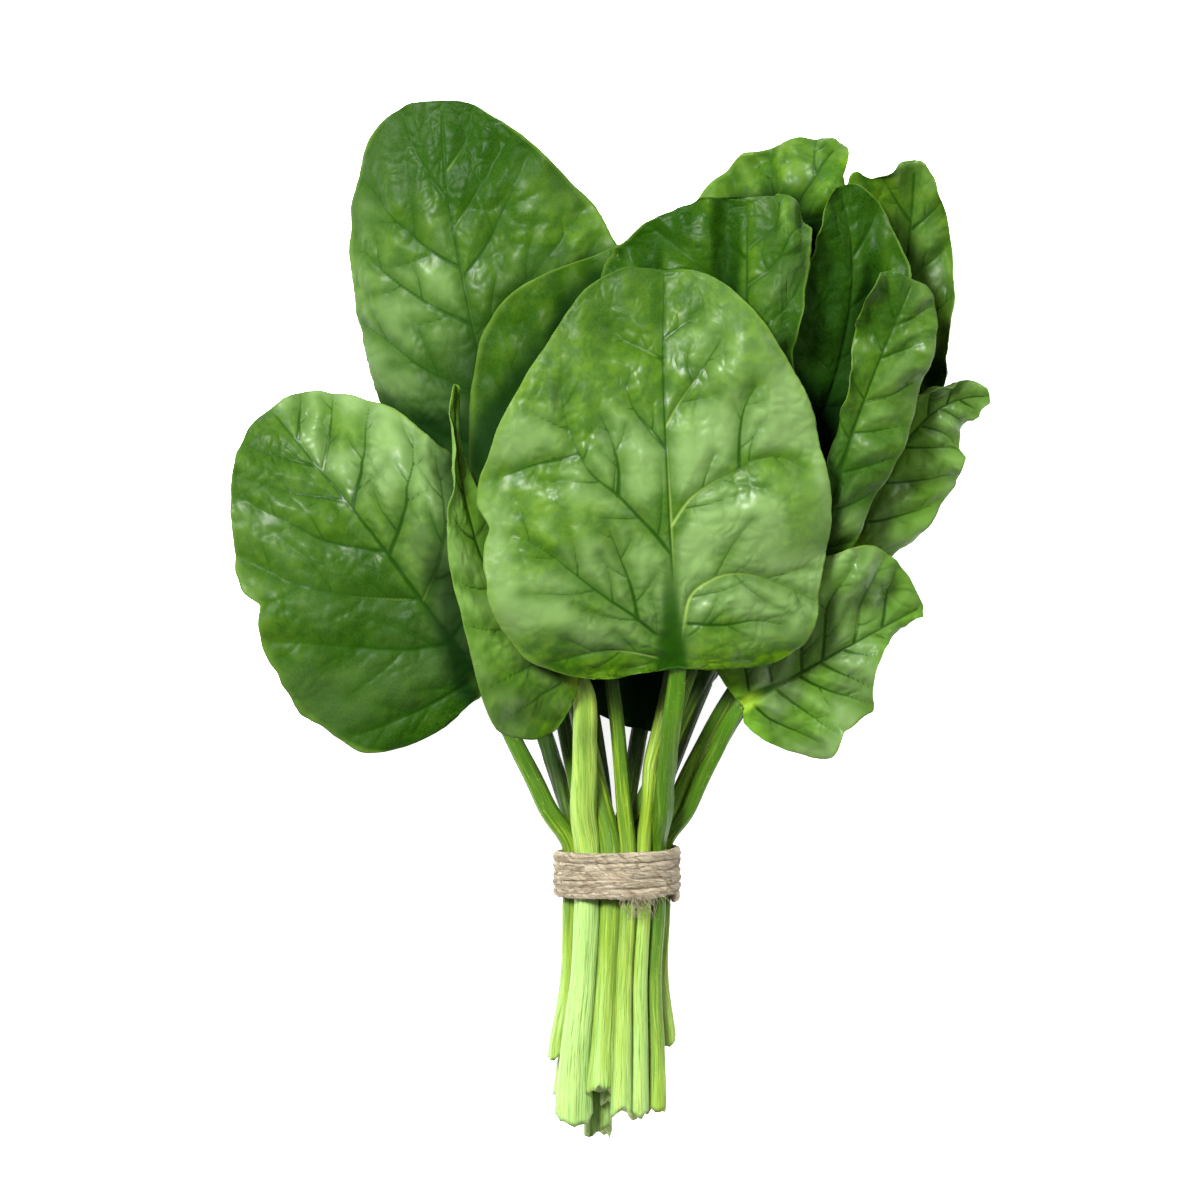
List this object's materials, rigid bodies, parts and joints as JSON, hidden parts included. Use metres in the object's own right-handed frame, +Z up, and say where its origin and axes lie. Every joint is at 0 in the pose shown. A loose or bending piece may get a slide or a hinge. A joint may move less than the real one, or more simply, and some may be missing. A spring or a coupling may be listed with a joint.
{
  "type": "spinach bunch",
  "caption": "Bunch of fresh spinach leaves on pale stalks with cut ends, wound round with jute twine and lying flat.",
  "frame": {"origin": "on the table under the middle of the twine, on the flat that the twine rests on", "axes": "+Y from the cut ends of the stalks to the leaf tips, +Z up from the table, +X to the right seen from above"},
  "size_m": [0.2138, 0.2908, 0.0656],
  "materials": {
    "blade": "satin",
    "stalk": "satin",
    "twine": "matte"
  },
  "bodies": {
    "root": {"leaf_01_blade": "blade", "leaf_01_stalk": "stalk", "leaf_02_blade": "blade", "leaf_02_stalk": "stalk", "leaf_03_blade": "blade", "leaf_03_stalk": "stalk", "leaf_04_blade": "blade", "leaf_04_stalk": "stalk", "leaf_05_blade": "blade", "leaf_05_stalk": "stalk", "leaf_06_blade": "blade", "leaf_06_stalk": "stalk", "leaf_07_blade": "blade", "leaf_07_stalk": "stalk", "leaf_08_blade": "blade", "leaf_08_stalk": "stalk", "leaf_09_blade": "blade", "leaf_09_stalk": "stalk", "leaf_10_blade": "blade", "leaf_10_stalk": "stalk", "leaf_11_blade": "blade", "leaf_11_stalk": "stalk", "leaf_12_blade": "blade", "leaf_12_stalk": "stalk", "leaf_13_blade": "blade", "leaf_13_stalk": "stalk", "leaf_14_blade": "blade", "leaf_14_stalk": "stalk", "leaf_15_blade": "blade", "leaf_15_stalk": "stalk", "leaf_16_blade": "blade", "leaf_16_stalk": "stalk", "leaf_17_blade": "blade", "leaf_17_stalk": "stalk", "leaf_18_blade": "blade", "leaf_18_stalk": "stalk", "twine": "twine"}
  },
  "joints": []
}
